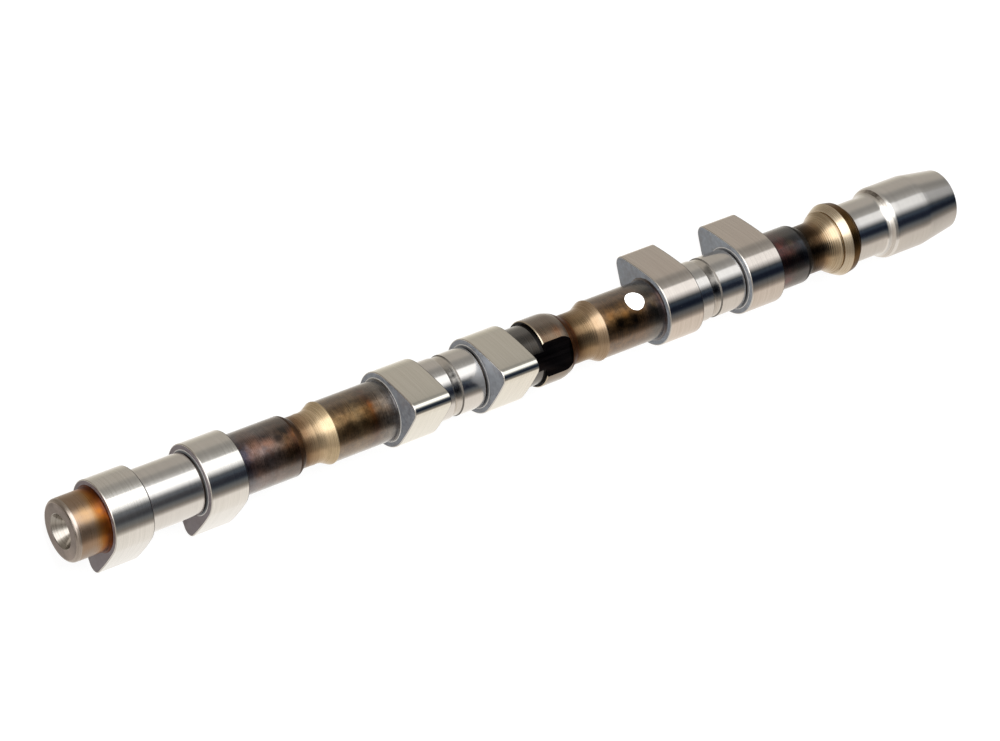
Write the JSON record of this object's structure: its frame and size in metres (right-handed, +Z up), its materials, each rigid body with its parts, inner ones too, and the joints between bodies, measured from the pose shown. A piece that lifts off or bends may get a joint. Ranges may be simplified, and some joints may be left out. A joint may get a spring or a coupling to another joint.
{
  "type": "camshaft",
  "caption": "Engine camshaft in one piece: pairs of cam lobes with a bearing journal between them, turned necks, spanner flats, thrust flange, sprocket seat and tapered, threaded nose.",
  "frame": {"origin": "middle of the shaft's length and width, at the height of the surface it lies on", "axes": "+X along the shaft from the end stub towards the tapered nose, +Z up, with the middle pair of lobes pointing up"},
  "size_m": [0.389, 0.04, 0.0365],
  "materials": {
    "steel": "ground and polished lobes and journals, dark brown and blue-black turned surfaces between them"
  },
  "bodies": {
    "root": {"camshaft": "steel"}
  },
  "joints": []
}
